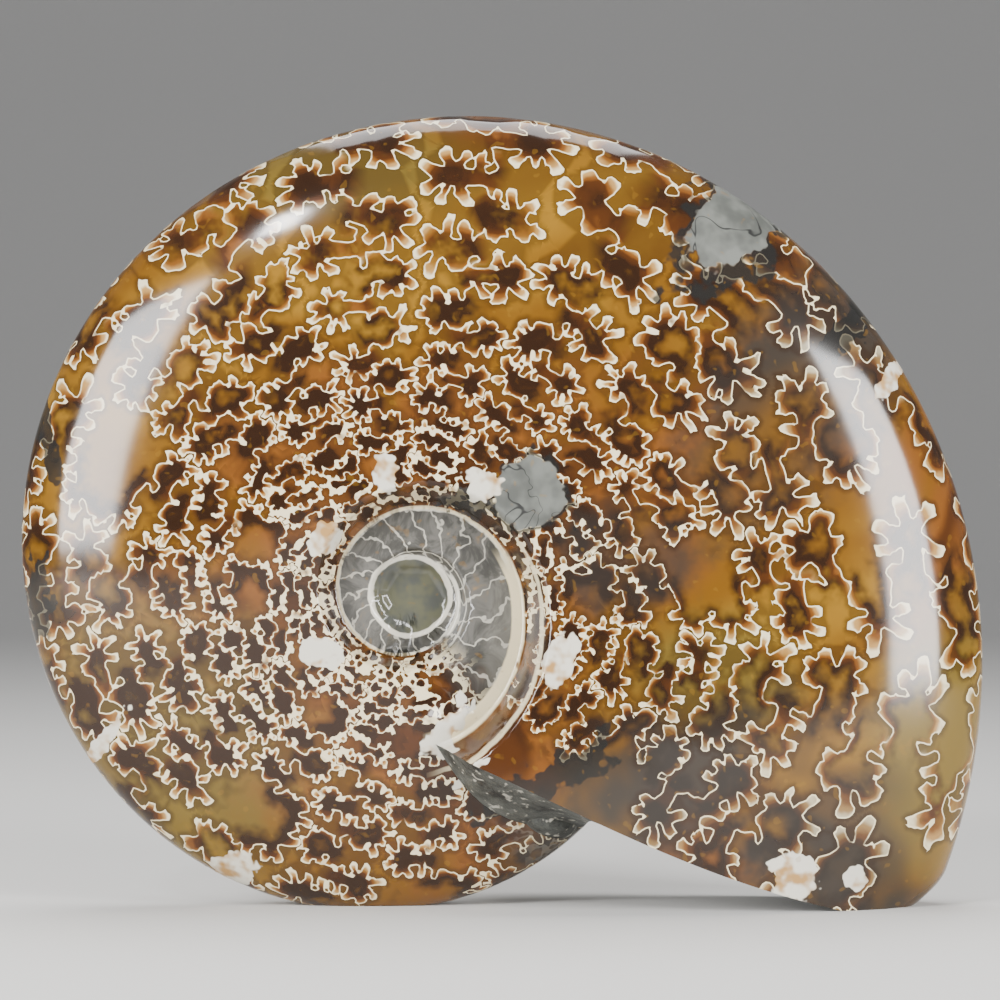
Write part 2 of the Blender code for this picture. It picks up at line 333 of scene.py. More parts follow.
@dataclass
class Sutures:
    """The sutures of the last turn, drawn in the rolled-out plan.

    Each has a grid of ln radius by angle from its own place. The first list of grids holds numbers that
    are negative behind a line, the next one the share of stone behind it round a place, and the last one
    is 1 where leaves point forward and 0 where they point back.
    """

    coil: Coil
    sizes: LeafSizes = field(default_factory=LeafSizes)
    chances: LeafChances = field(default_factory=LeafChances)
    first_angle: float = 35.0
    spacing: float = 19.5
    crowding: float = 1.2
    crowded: float = 2.5
    count: int = 21
    cell: float = 0.0038
    window: float = 0.42
    seed: int = 16
    nearest: float = 5.0 * MM
    farthest: float = 105.0 * MM
    far: float = 0.5
    beyond: float = 10.0
    least_points: int = 13

    def __post_init__(self) -> None:
        self.low = math.log(self.nearest)
        self.high = math.log(self.farthest)
        self.a = np.arange(self.low, self.high, self.cell)
        self.b = np.arange(-self.window, self.window, self.cell)
        self.fields: list[Array] = []
        self.shares: list[Array] = []
        self.sides: list[Array] = []

    def angle(self, k: int) -> float:
        """Growth angle of a suture: they crowd towards the aperture."""
        crowded = self.crowding * self.crowded * (1 - math.exp(-k / self.crowded))
        return self.first_angle - self.spacing * k + crowded

    def finger(
        self,
        shapes: Shapes,
        start: Array,
        heading: float,
        length: float,
        scale: float,
        random: np.random.Generator,
    ) -> None:
        """Adds one finger of a leaf, with small bumps at its tip and on its sides.

        Args:
            shapes: the leaf's tapered capsules.
            start: ln radius and angle of its root.
            heading: way that it points, in radians.
            length: its length.
            scale: size of the leaf.
            random: random numbers.
        """
        s, c = self.sizes, self.chances
        r = s.finger_radius * scale * random.uniform(*c.width)
        bump = s.bump_radius * scale
        middle = start + s.knee * length * toward(heading)
        heading += random.normal(0.0, c.bend)
        end = middle + s.past_knee * length * toward(heading)
        shapes.append((start, r * s.root_width, middle, r * s.knee_width))
        shapes.append((middle, r * s.knee_width, end, r))
        for turn in c.bump_turns[0 if random.random() < c.three_bumps else 1]:
            aim = heading + turn + random.normal(0.0, c.bump_spread)
            tip = end + s.bump * scale * random.uniform(*c.bump_length) * toward(aim)
            shapes.append((end, bump, tip, bump * s.bump_end))
        for side in (-1, 1):
            if random.random() < c.side_bump:
                root = start + (end - start) * random.uniform(*c.side_bump_place)
                tip = root + (r + s.side_bump * scale) * toward(heading + side * c.side_bump_turn)
                shapes.append((root, bump * s.side_bump_root, tip, bump * s.side_bump_end))

    def leaf(self, base: Array, sign: int, scale: float, random: np.random.Generator) -> Shapes:
        """One leaf: a trunk, a fan of fingers on it and a finger on either side.

        Args:
            base: ln radius and angle of the foot of the trunk.
            sign: 1 for a leaf that points forward, -1 for one that points back.
            scale: size of the leaf.
            random: random numbers.

        Returns:
            Tapered capsules, each with its start, radius there, end and radius there.
        """
        s, c = self.sizes, self.chances
        heading = sign * math.pi / 2 + random.normal(0.0, c.lean)
        crown = base + toward(heading) * s.reach * scale * random.uniform(*c.reach)
        trunk = s.trunk * scale
        shapes: Shapes = [(base, trunk * s.knee_width, crown, trunk)]
        fingers = int(random.choice(c.fingers))
        for i in range(fingers):
            turn = s.fan * (2 * i / (fingers - 1) - 1)
            length = s.finger * scale * random.uniform(*c.finger_length)
            length *= s.longest - s.shortening * abs(turn) / s.fan
            aim = heading + turn + random.normal(0.0, c.finger_spread)
            self.finger(shapes, crown, aim, length, scale, random)
        for side in (-1, 1):
            if random.random() < c.side_finger:
                start = base + (crown - base) * random.uniform(*c.side_finger_place)
                length = s.side_finger * scale * random.uniform(*c.side_finger_length)
                aim = heading + side * (s.side_turn + random.normal(0.0, c.side_finger_spread))
                self.finger(shapes, start, aim, length, scale, random)
        return shapes

    def leaves(self, k: int) -> tuple[Array, Array]:
        """Distances to the leaves of one suture that point forward, and to those that point back."""
        s, c = self.sizes, self.chances
        own = np.random.default_rng(self.seed * 1000 + k)
        common = np.random.default_rng(self.seed)
        angle = self.angle(k)
        outer = math.log(self.coil.developed_radius(angle, 1.0)) + s.past_venter
        inner = math.log(self.coil.seam_radius(angle)) + s.least_height
        leaves: dict[int, list[Shapes]] = {1: [], -1: []}
        a = self.high
        sign = 1
        while a > inner:
            share = min(1.0, (self.high - a) / s.inward)
            scale = (s.outer_scale + s.inner_growth * share) * own.uniform(*c.size)
            base = np.array([a + own.normal(0.0, c.shift), -s.overlap * sign])
            if a < outer:
                leaves[sign].append(self.leaf(base, sign, scale, own))
            period = s.outer_period + (s.inner_period - s.outer_period) * share
            a -= period * common.uniform(*c.period)
            sign = -sign
        return self.apart(leaves[1]), self.apart(leaves[-1])

    def union(self, shapes: Shapes) -> Array:
        """Distance to a soft union of tapered capsules, on the grid round one suture."""
        result = np.full((len(self.a), len(self.b)), self.far)
        for start, r0, end, r1 in shapes:
            pad = max(r0, r1) + self.sizes.margin
            low, high = np.minimum(start, end) - pad, np.maximum(start, end) + pad
            i0, i1 = np.searchsorted(self.a, [low[0], high[0]])
            j0, j1 = np.searchsorted(self.b, [low[1], high[1]])
            if i0 >= i1 or j0 >= j1:
                continue
            arm = end - start
            x = self.a[i0:i1, None] - start[0]
            y = self.b[None, j0:j1] - start[1]
            t = np.clip((x * arm[0] + y * arm[1]) / (arm @ arm + TINY), 0.0, 1.0)
            d = np.hypot(x - t * arm[0], y - t * arm[1]) - (r0 + (r1 - r0) * t)
            result[i0:i1, j0:j1] = soft_union(result[i0:i1, j0:j1], d, self.sizes.merge)
        return result

    def apart(self, leaves: list[Shapes]) -> Array:
        """Distance to leaves on one side, each trimmed so that a channel is left to the ones before."""
        result = np.full((len(self.a), len(self.b)), self.far)
        for shapes in leaves:
            result = np.minimum(result, np.maximum(self.union(shapes), self.sizes.channel - result))
        return result

    def build(self) -> None:
        """Fills the grids of every suture, each kept a gap behind the one ahead of it."""
        s = self.sizes
        raw = None
        for k in range(self.count):
            forward, backward = self.leaves(k)
            random = np.random.default_rng(self.seed * 77 + k)
            frill = blurred(random.normal(size=forward.shape), s.frill_reach / self.cell)
            wave = s.wave * np.sin(self.a * s.wave_rate + s.wave_shift * k)
            wave += s.ripple * np.sin(self.a * s.ripple_rate + k)
            value = np.minimum(self.b[None, :] + wave[:, None], forward)
            value = np.maximum(value, -backward) + frill * (s.frill / frill.std())
            if raw is not None:
                shift = round(math.radians(self.angle(k - 1) - self.angle(k)) / self.cell)
                ahead = np.full_like(value, -self.beyond)
                ahead[:, shift:] = raw[:, :-shift]
                value = np.maximum(value, ahead + s.gap)
            raw = value
            value = without_islands(value)
            self.fields.append(value)
            self.shares.append(blurred((value < 0).astype(float), s.blur / self.cell))
            self.sides.append(soft_step(0.5 + (backward - forward) / s.side_blend))

    def sample(self, grid: Array, a: Array, b: Array) -> Array:
        """A grid's values at places, with its outermost cells carried on."""
        row = np.clip((a - self.low) / self.cell, 0.0, len(self.a) - PAST_LAST)
        column = np.clip((b + self.window) / self.cell, 0.0, len(self.b) - PAST_LAST)
        i, j = row.astype(int), column.astype(int)
        u, v = row - i, column - j
        near = (grid[i, j] * (1 - u) + grid[i + 1, j] * u) * (1 - v)
        return near + (grid[i, j + 1] * (1 - u) + grid[i + 1, j + 1] * u) * v

    def line(self, k: int) -> list[Array]:
        """The contours of one suture as (ln radius, angle) rows."""
        corner = np.array([self.low, -self.window])
        return [corner + row * self.cell for row in contours(self.fields[k], self.least_points)]


def spread(seed: Array, mask: Array) -> Array:
    """The part of a mask that is joined to the seed cells."""
    reached = seed & mask
    while True:
        grown = reached.copy()
        for _ in range(24):
            wider = grown.copy()
            wider[1:] |= grown[:-1]
            wider[:-1] |= grown[1:]
            wider[:, 1:] |= grown[:, :-1]
            wider[:, :-1] |= grown[:, 1:]
            grown = wider & mask
        if (grown == reached).all():
            return reached
        reached = grown


def without_islands(grid: Array) -> Array:
    """The grid with every enclosed spot turned to the sign round it."""
    first = np.zeros(grid.shape, bool)
    last = np.zeros(grid.shape, bool)
    first[:, 0] = True
    last[:, -1] = True
    behind = spread(first, grid < 0)
    grid = np.where((grid < 0) & ~behind, -grid, grid)
    ahead = spread(last, grid >= 0)
    return np.where((grid >= 0) & ~ahead, -grid - JUST_BEHIND, grid)


def soft_union(first: Array, second: Array, reach: float) -> Array:
    """The lesser of two distances, with the corner between them rounded."""
    share = np.clip(0.5 + 0.5 * (first - second) / reach, 0.0, 1.0)
    return first + (second - first) * share - reach * share * (1 - share)


def blurred(grid: Array, reach: float) -> Array:
    """A grid smoothed by a Gaussian of that many cells."""
    half = int(3 * reach)
    weights = np.exp(-0.5 * (np.arange(-half, half + 1) / reach) ** 2)
    weights /= weights.sum()
    for axis in (0, 1):
        padded = np.pad(grid, [(half, half) if i == axis else (0, 0) for i in (0, 1)], mode="edge")
        places = np.arange(grid.shape[axis])
        grid = sum(weight * np.take(padded, places + i, axis=axis) for i, weight in enumerate(weights))
    return grid


def contours(grid: Array, least: int) -> list[Array]:
    """The zero contours of a grid that have enough points, as chains of fractional indices."""
    inside = grid < 0
    links: dict[tuple, list] = {}
    places: dict[tuple, tuple[float, float]] = {}

    def crossing(i: int, j: int, along: int) -> tuple:
        key = (i, j, along)
        if key not in places:
            first = grid[i, j]
            second = grid[i + 1, j] if along == 0 else grid[i, j + 1]
            share = float(first / (first - second))
            places[key] = (i + share, float(j)) if along == 0 else (float(i), j + share)
        return key

    mixed = (
        (inside[:-1, :-1] != inside[1:, :-1])
        | (inside[:-1, :-1] != inside[:-1, 1:])
        | (inside[1:, 1:] != inside[1:, :-1])
    )
    for i, j in zip(*np.nonzero(mixed)):
        i, j = int(i), int(j)
        a, b, c, d = inside[i, j], inside[i + 1, j], inside[i + 1, j + 1], inside[i, j + 1]
        ends = []
        if a != b:
            ends.append(crossing(i, j, 0))
        if b != c:
            ends.append(crossing(i + 1, j, 1))
        if c != d:
            ends.append(crossing(i, j + 1, 0))
        if d != a:
            ends.append(crossing(i, j, 1))
        for p, q in zip(ends[::2], ends[1::2]):
            links.setdefault(p, []).append(q)
            links.setdefault(q, []).append(p)
    chains = []
    for start in sorted(links, key=lambda key: len(links[key])):
        if not links[start]:
            continue
        chain = [start]
        while links[chain[-1]]:
            here = chain[-1]
            nxt = links[here].pop()
            links[nxt].remove(here)
            chain.append(nxt)
        if len(chain) >= least:
            chains.append(np.array([places[key] for key in chain]))
    return chains


@dataclass
class PlanPoints:
    """Points and fixed edges in the rolled-out plan, gathered for the triangulation."""

    points: list[Array] = field(default_factory=list)
    edges: list[Array] = field(default_factory=list)
    owners: list[Array] = field(default_factory=list)
    count: int = 0

    def add(self, rows: Array, owner: int, chain: bool = False) -> None:
        """Adds points.

        Args:
            rows: points in the plan.
            owner: number of the suture they lie on, or one of the negative marks.
            chain: True to fix the edges from each point to the next.
        """
        if chain:
            start = np.arange(self.count, self.count + len(rows) - 1)
            self.edges.append(np.stack([start, start + 1], axis=1))
        self.points.append(rows)
        self.owners.append(np.full(len(rows), owner))
        self.count += len(rows)


class Mark(Enum):
    """What a point of the triangulation stands for, other than a suture."""

    FILL = -1
    BORDER = -2


def resample(rows: Array, step: Array) -> Array:
    """A chain again, with points one local step apart."""
    lengths = np.hypot(*np.diff(rows, axis=0).T)
    along = np.concatenate([[0.0], np.cumsum(lengths / (0.5 * (step[1:] + step[:-1])))])
    count = max(2, int(round(along[-1])) + 1)
    wanted = np.linspace(0.0, along[-1], count)
    return np.stack([np.interp(wanted, along, rows[:, i]) for i in range(2)], axis=1)


def distances(points: Array, others: Array) -> Array:
    """Distance from each point to the nearest of the others."""
    if not len(others):
        return np.full(len(points), FAR)
    tree = kdtree.KDTree(len(others))
    for i, (x, y) in enumerate(others):
        tree.insert((x, y, 0.0), i)
    tree.balance()
    return np.array([tree.find((x, y, 0.0))[2] for x, y in points])


@dataclass
class FlankMesh:
    """The front of the stone as a fine mesh that follows the suture lines."""

    coil: Coil
    opening: Opening
    sutures: Sutures
    fill: float = 0.95 * MM
    line_step: float = 0.52 * MM
    least_step: float = 0.25 * MM
    fineness: float = 0.0115
    offset: float = 0.34 * MM
    offset_gap: float = 0.46 * MM
    offset_clear: float = 0.86
    fill_clear: float = 0.62
    normal_inset: float = 0.06
    normal_step: float = 0.004 * MM
    least_normal: float = 1e-15
    rim_step: float = 0.8
    seam_step: float = 1.2
    row_share: float = 0.866
    least_run: int = 12
    least_area: float = 1e-14
    merge_reach: float = 1e-4
    near_tip: tuple[float, float] = (3.0, 8.0)
    window_edge: float = 0.01
    line_limits: tuple[float, float] = (0.012, 1.02)
    grey_until: float = 20.0
    grey_fade: float = 34.0
    plan_box: tuple[tuple[float, float], ...] = ((-75 * MM, 95 * MM), (-65 * MM, 85 * MM))
    line_samples: list[Array] = field(default_factory=list)

    def boundary(self) -> tuple[Array, Array]:
        """Growth angles and places across of the loop round the front: venter, lip edge, lip foot."""
        rim = np.arange(self.coil.foot, self.coil.tip, self.rim_step)
        edge_angle, edge_part = self.opening.edge()
        foot_angle, foot_part = self.opening.foot()
        angle = np.concatenate([rim, edge_angle[::-1], foot_angle[1:-1]])
        part = np.concatenate([np.ones_like(rim), edge_part[::-1], foot_part[1:-1]])
        return angle, part

    def locate(self, points: Array) -> tuple[Array, Array]:
        """Growth angle and distance from the axis of points in the rolled-out plan."""
        angle, radius = self.coil.polar(points)
        before, after = self.near_tip
        outer = np.where(angle > self.coil.tip + after, angle - TURN, angle)
        check = (angle > self.coil.tip - before) & (angle <= self.coil.last)
        if check.any():
            lip = self.on_lip(points[check])
            outer[check] = np.where(lip, angle[check], angle[check] - TURN)
        inner = radius < self.coil.seam_radius(outer)
        growth = np.where(inner, outer - TURN, outer)
        growth = np.where(growth < self.coil.first, growth + TURN, growth)
        return growth, radius

    def umbilicus(self) -> Array:
        """1 for corners inside the last turn's seam, fading to 0 where that turn begins."""
        growth, radius = self.locate(self.centre)
        angle, _ = self.coil.polar(self.plan[self.faces])
        angle = turned_near(angle, growth[:, None])
        fade = soft_step((self.coil.foot + self.grey_until - angle) / self.grey_fade)
        return np.where((radius < self.coil.seam_radius(growth))[:, None], 1.0, fade)

    def on_lip(self, points: Array) -> Array:
        """Which points lie on the lip's side of the opening."""
        edge = self.coil.rolled_out(self.opening.edge())
        foot = self.coil.rolled_out(self.opening.foot())
        middle = (edge + foot) / 2
        middle = np.concatenate([middle, middle[-1:] + 3 * (middle[-1:] - middle[-3:-2])])
        centres = (middle[1:] + middle[:-1]) / 2
        nearest = np.argmin(np.linalg.norm(points[:, None] - centres[None], axis=2), axis=1)
        along = (middle[1:] - middle[:-1])[nearest]
        arm = points - middle[:-1][nearest]
        return along[:, 0] * arm[:, 1] - along[:, 1] * arm[:, 0] > 0

    def gather_lines(self, plan: PlanPoints) -> list[Array]:
        """Adds the suture lines to the plan and returns their rows."""
        coil, sutures = self.coil, self.sutures
        nearest, farthest = self.line_limits
        lines = []
        for k in range(sutures.count):
            own = [np.zeros((0, 2))]
            for row in sutures.line(k):
                radius = np.exp(row[:, 0])
                growth = sutures.angle(k) + np.degrees(row[:, 1])
                across = coil.part_of(growth, radius)
                flat = coil.plan(growth, radius)
                for piece in runs((across > nearest) & (across <= farthest)):
                    if len(piece) >= self.least_run:
                        step = np.clip(self.fineness * radius[piece], self.least_step, self.line_step)
                        own.append(resample(flat[piece], step))
                        plan.add(own[-1], k, chain=True)
            lines += own[1:]
            self.line_samples.append(np.concatenate(own))
        return lines

    def beside(self, lines: list[Array], fixed: Array) -> Array:
        """Points a little to either side of the lines, clear of the fixed ones."""
        offsets = []
        for rows in lines:
            along = np.gradient(rows, axis=0)
            normal = np.stack([-along[:, 1], along[:, 0]], axis=1)
            normal /= np.linalg.norm(normal, axis=1, keepdims=True) + TINY
            offsets += [rows + normal * self.offset, rows - normal * self.offset]
        points = np.concatenate(offsets)
        points = points[distances(points, fixed) >= self.offset_clear * self.offset]
        return thinned(points, self.offset_gap)

    def hexagons(self, fixed: Array) -> Array:
        """Points of an even grid over the stone, clear of the fixed ones."""
        (left, right), (low, high) = self.plan_box
        x = np.arange(left, right, self.fill)
        y = np.arange(low, high, self.fill * self.row_share)
        gx, gy = np.meshgrid(x, y)
        gx[1::2] += self.fill / 2
        points = np.stack([gx.ravel(), gy.ravel()], axis=1)
        growth, radius = self.locate(points)
        points = points[self.coil.part_of(growth, radius) <= self.line_limits[1]]
        return points[distances(points, fixed) >= self.fill_clear * self.fill]

    def gather(self) -> PlanPoints:
        """All points and fixed edges."""
        coil = self.coil
        plan = PlanPoints()
        border = coil.rolled_out(self.boundary())
        plan.add(border, Mark.BORDER.value, chain=True)
        plan.edges.append(np.array([[len(border) - 1, 0]]))
        lines = self.gather_lines(plan)
        seam_angle = np.arange(coil.first, coil.last, self.seam_step)
        seam = coil.plan(seam_angle, coil.seam_radius(seam_angle))
        plan.add(seam[1:-1], Mark.FILL.value, chain=True)
        fixed = np.concatenate([*lines, border, seam])
        beside = self.beside(lines, fixed)
        plan.add(beside, Mark.FILL.value)
        plan.add(self.hexagons(np.concatenate([fixed, beside])), Mark.FILL.value)
        return plan

    def triangulate(self) -> None:
        """Fills the plan, its triangles and the number of the suture that each point lies on."""
        plan = self.gather()
        points = np.concatenate(plan.points) / MM
        edges = np.concatenate(plan.edges)
        owners = np.concatenate(plan.owners)
        corners = [Vector(point) for point in points]
        made = geometry.delaunay_2d_cdt(corners, edges.tolist(), [], 0, self.merge_reach, True)
        self.plan = np.array([tuple(point) for point in made[0]]) * MM
        faces = np.array([tuple(face) for face in made[2] if len(face) == 3])
        corners = self.plan[faces]
        turned = np.cross(corners[:, 1] - corners[:, 0], corners[:, 2] - corners[:, 0])
        faces[turned < 0] = faces[turned < 0][:, ::-1]
        faces = faces[np.abs(turned) > self.least_area]
        centre = self.plan[faces].mean(axis=1)
        growth, radius = self.locate(centre)
        part = self.coil.part_of(growth, radius)
        keep = (part <= 1.0) & ~self.in_opening(centre)
        self.faces = faces[keep]
        self.centre = centre[keep]
        self.owner = np.array([owners[old[0]] if old else Mark.FILL.value for old in made[3]])

    def in_opening(self, points: Array) -> Array:
        """Which points of the plan lie between the lip's edge and its foot."""
        edge = self.coil.rolled_out(self.opening.edge())
        foot = self.coil.rolled_out(self.opening.foot())
        axis = np.array(self.coil.axis)
        far = [axis + 3 * (edge[-1] - axis), axis + 3 * (foot[-1] - axis)]
        loop = np.concatenate([edge, far, foot[::-1][:-1]])
        inside = np.zeros(len(points), bool)
        for (x0, y0), (x1, y1) in zip(loop, np.roll(loop, -1, axis=0)):
            if y0 == y1:
                continue
            crosses = (y0 > points[:, 1]) != (y1 > points[:, 1])
            inside ^= crosses & (points[:, 0] < (x1 - x0) * (points[:, 1] - y0) / (y1 - y0) + x0)
        return inside

    def chambers(self) -> Array:
        """For each triangle, how many suture lines it lies behind."""
        growth, radius = self.locate(self.centre)
        count = np.zeros(len(self.centre), int)
        sutures = self.sutures
        for k in range(sutures.count):
            beside = np.radians(growth - sutures.angle(k))
            behind = sutures.sample(sutures.fields[k], np.log(radius), beside) < 0
            behind = np.where(np.abs(beside) < sutures.window - self.window_edge, behind, beside < 0)
            count += behind
        return count

    def suture_distances(self) -> list[Array]:
        """Numbers for each corner that tell how it lies to the nearer of its chamber's two suture lines.

        Returns:
            Distance to the line, share of the chamber's own side of it round the place, and 1 where that
            side is the inside of leaves.
        """
        sutures = self.sutures
        chamber = self.chambers()
        corner_growth, corner_radius = self.locate(self.plan)
        away = np.full(self.faces.shape, FAR)
        share = np.ones(self.faces.shape)
        leaf = np.zeros(self.faces.shape)
        for shift in (-1, 0):
            for k in range(sutures.count):
                rows = np.nonzero(chamber + shift == k)[0]
                if not len(rows):
                    continue
                used, index = np.unique(self.faces[rows], return_inverse=True)
                value = distances(self.plan[used], self.line_samples[k])
                value[self.owner[used] == k] = 0.0
                beside = np.radians(corner_growth[used] - sutures.angle(k))
                behind = sutures.sample(sutures.shares[k], np.log(corner_radius[used]), beside)
                forward = sutures.sample(sutures.sides[k], np.log(corner_radius[used]), beside)
                own = (behind, forward) if shift else (1 - behind, 1 - forward)
                value, behind, forward = (numbers[index].reshape(-1, 3) for numbers in (value, *own))
                nearer = value.mean(axis=1) < away[rows].mean(axis=1)
                away[rows[nearer]], share[rows[nearer]] = value[nearer], behind[nearer]
                leaf[rows[nearer]] = forward[nearer]
        return [away, share, leaf]

    def normals(self) -> Array:
        """Unit normals of the smooth surface at each corner, pointing to the front."""
        corners = self.plan[self.faces]
        inner = corners + self.normal_inset * (self.centre[:, None] - corners)
        flat = inner.reshape(-1, 2)
        step = self.normal_step
        growth, _ = self.locate(flat)
        sides = []
        for shift in ((step, 0.0), (0.0, step)):
            ends = []
            for sign in (-1, 1):
                moved = flat + sign * np.array(shift)
                angle, radius = self.coil.polar(moved)
                ends.append(self.coil.surface(turned_near(angle, growth), radius))
            sides.append(ends[1] - ends[0])
        normal = np.cross(sides[0], sides[1])
        normal /= np.linalg.norm(normal, axis=1, keepdims=True) + self.least_normal
        return normal.reshape(-1, 3, 3)


@dataclass(frozen=True)
class Patch:
    """A spot on a flank, in millimetres: where it lies, how large it is, how it is turned and on which flank.
    """

    centre: tuple[float, float]
    size: tuple[float, float]
    turn: float = 0.0
    back: bool = False

    def field(self, points: Array) -> Array:
        """1 in the middle, 0 on the outline and negative outside."""
        arm = points[:, (0, 2)] / MM - np.array(self.centre)
        turn = math.radians(self.turn)
        along = arm @ np.array([math.cos(turn), -math.sin(turn)])
        over = arm @ np.array([math.sin(turn), math.cos(turn)])
        away = np.hypot(along / self.size[0], over / self.size[1])
        wrong = points[:, 1] < 0 if self.back else points[:, 1] > 0
        return np.where(wrong, -1.0, np.maximum(1 - away, -1.0))


PATCHES: dict[str, tuple[Patch, ...]] = {
    "matrix": (
        Patch((33.5, 93.5), (11.5, 4.8), -41.0),
        Patch((3.4, 55.4), (4.7, 4.5)),
        Patch((-30.0, 88.0), (9.0, 4.0), 40.0, back=True),
        Patch((20.0, 30.0), (7.0, 4.0), 10.0, back=True),
    ),
    "margin": (
        Patch((33.0, 92.8), (13.5, 6.6), -41.0),
        Patch((3.4, 55.4), (5.3, 5.2)),
        Patch((-30.0, 88.0), (10.0, 5.0), 40.0, back=True),
        Patch((20.0, 30.0), (8.0, 5.0), 10.0, back=True),
    ),
    "dark": (
        Patch((49.0, 80.5), (12.0, 2.0), -50.0),
        Patch((-4.0, 54.4), (3.6, 2.4)),
        Patch((7.0, 18.2), (9.0, 2.2), -28.0),
        Patch((-61.5, 40.0), (1.8, 7.0)),
        Patch((-61.0, 64.0), (1.2, 9.0), -12.0),
    ),
    # white spots of calcite; the one on the umbilical shoulder is a painted reflection
    "chalk_and_sheen": (
        Patch((-6.9, 24.6), (4.2, 1.9), -56.0),
        Patch((-4.2, 18.6), (2.8, 0.9), -50.0),
        Patch((-2.6, 56.8), (2.7, 2.2), 30.0),
        Patch((-15.3, 58.1), (1.9, 2.5)),
        Patch((7.4, 32.8), (2.0, 4.3), 20.0),
        Patch((-23.6, 49.5), (1.8, 2.8), 20.0),
        # painted reflection: a white spot on the umbilical shoulder in place of a sheen of light
        Patch((-23.7, 34.2), (2.5, 1.6)),
        Patch((38.4, 4.6), (3.4, 2.4), 8.0),
        Patch((47.0, 4.2), (1.5, 1.7)),
        Patch((52.0, 71.0), (4.2, 1.1), -52.0),
        Patch((-55.5, 19.0), (7.5, 0.9), -54.0),
        Patch((-37.0, 4.6), (5.0, 2.2), -30.0),
        Patch((20.0, 60.0), (2.2, 3.0), 10.0, back=True),
        Patch((-18.0, 33.0), (2.2, 1.5), 10.0, back=True),
    ),
    "slate": (
        Patch((48.0, 12.0), (20.0, 17.0)),
        Patch((20.0, 17.0), (18.0, 9.0), -28.0),
        Patch((40.0, 70.0), (10.0, 22.0), 38.0),
        Patch((16.0, 47.0), (10.0, 7.0)),
        Patch((30.0, 30.0), (22.0, 18.0), back=True),
    ),
    "olive": (
        Patch((28.0, 31.0), (10.0, 8.0)),
        Patch((-46.0, 22.0), (17.0, 20.0), -40.0),
        Patch((-22.0, 98.0), (16.0, 6.0)),
        Patch((57.0, 22.0), (8.0, 16.0), 10.0),
        Patch((-40.0, 40.0), (18.0, 22.0), back=True),
    ),
    "honey": (
        Patch((-4.0, 94.0), (36.0, 12.0)),
        Patch((-20.0, 80.0), (22.0, 17.0)),
        Patch((10.0, 76.0), (24.0, 14.0), 20.0),
        Patch((-52.0, 62.0), (14.0, 28.0), -20.0),
        Patch((-20.0, 8.0), (28.0, 12.0)),
        Patch((40.0, 44.0), (14.0, 13.0)),
        Patch((0.0, 84.0), (44.0, 20.0), back=True),
    ),
    "russet": (
        Patch((-35.0, 48.0), (15.0, 20.0)),
        Patch((26.0, 56.0), (20.0, 15.0)),
        Patch((0.0, 68.0), (24.0, 10.0)),
        Patch((-10.0, 14.0), (16.0, 12.0)),
        Patch((10.0, 50.0), (26.0, 20.0), back=True),
    ),
}


@dataclass
class FlankPiece:
    """The two flanks of the stone as one Blender object."""

    flank: FlankMesh
    chip_place: tuple[float, float, float] = (-37.0 * MM, -8.4 * MM, 4.2 * MM)
    chip_size: tuple[float, float, float] = (11.0 * MM, 4.0 * MM, 4.6 * MM)
    chip_turn: tuple[float, float, float] = (28.0, -30.0, 0.0)
    rim_from: float = 0.99999
    uv_edge: float = 0.01
    uv_room: tuple[float, float] = (0.98, 0.48)

    def build(self) -> bpy.types.Object:
        """Makes the object with its attributes and normals."""
        flank = self.flank
        flank.triangulate()
        numbers = flank.suture_distances()
        normals = flank.normals()
        growth, radius = flank.locate(flank.plan)
        front = flank.coil.surface(growth, radius)
        part = flank.coil.part_of(growth, radius)
        used, faces = np.unique(flank.faces, return_inverse=True)
        faces = faces.reshape(-1, 3)
        front, part = front[used], part[used]
        on_rim = part > self.rim_from
        front[on_rim, 1] = 0.0
        place = np.where(on_rim, np.arange(len(front)), -1)
        place[~on_rim] = len(front) + np.arange((~on_rim).sum())
        back = front[~on_rim] * np.array([1.0, -1.0, 1.0])
        points = np.concatenate([front, back])
        triangles = np.concatenate([faces, place[faces][:, ::-1]])
        self.chip(points)
        grounded = points[:, 2] < 0
        points[grounded, 2] = 0.0
        piece = linked("polished_flanks", points.tolist(), triangles.tolist())
        mesh = piece.data
        away, deep, leaf = numbers
        corners = {"away": away / MM, "deep": deep, "leaf": leaf, "inner": flank.umbilicus()}
        for name, values in corners.items():
            store(mesh, name, "CORNER", np.concatenate([values, values[:, ::-1]]))
        for name, spots in PATCHES.items():
            store(mesh, name, "POINT", np.max([spot.field(points) for spot in spots], axis=0))
        store(mesh, "across", "POINT", np.concatenate([part, part[~on_rim]]))
        loops = np.concatenate([normals, normals[:, ::-1] * np.array([1.0, -1.0, 1.0])])
        loops[grounded[triangles].all(axis=1)] = (0.0, 0.0, -1.0)
        mesh.polygons.foreach_set("use_smooth", np.ones(len(triangles), bool))
        mesh.normals_split_custom_set(loops.reshape(-1, 3).tolist())
        self.lay_out(mesh, flank.plan[used][faces])
        LOG.info("flanks: %d points, %d triangles", len(points), len(triangles))
        return piece

    def chip(self, points: Array) -> None:
        """Breaks the small chip out of the front rim."""
        turn = Euler([math.radians(v) for v in self.chip_turn]).to_matrix()
        axes = np.array(turn)
        local = (points - np.array(self.chip_place)) @ axes
        half = np.array(self.chip_size) / 2
        inside = (np.abs(local) < half).all(axis=1)
        local[inside, 1] = half[1]
        points[inside] = local[inside] @ axes.T + np.array(self.chip_place)

    def lay_out(self, mesh: bpy.types.Mesh, flat: Array) -> None:
        """Lays both flanks side by side in a UV map."""
        low, high = flat.reshape(-1, 2).min(axis=0), flat.reshape(-1, 2).max(axis=0)
        size = high - low
        scale = min(self.uv_room[0] / size[0], self.uv_room[1] / size[1])
        front = self.uv_edge + (flat - low) * scale
        back = front + np.array([0.0, 0.5])
        layer = mesh.uv_layers.new(name="OFBake")
        places = np.concatenate([front, back[:, ::-1]])
        layer.data.foreach_set("uv", places.reshape(-1).astype(np.float32))


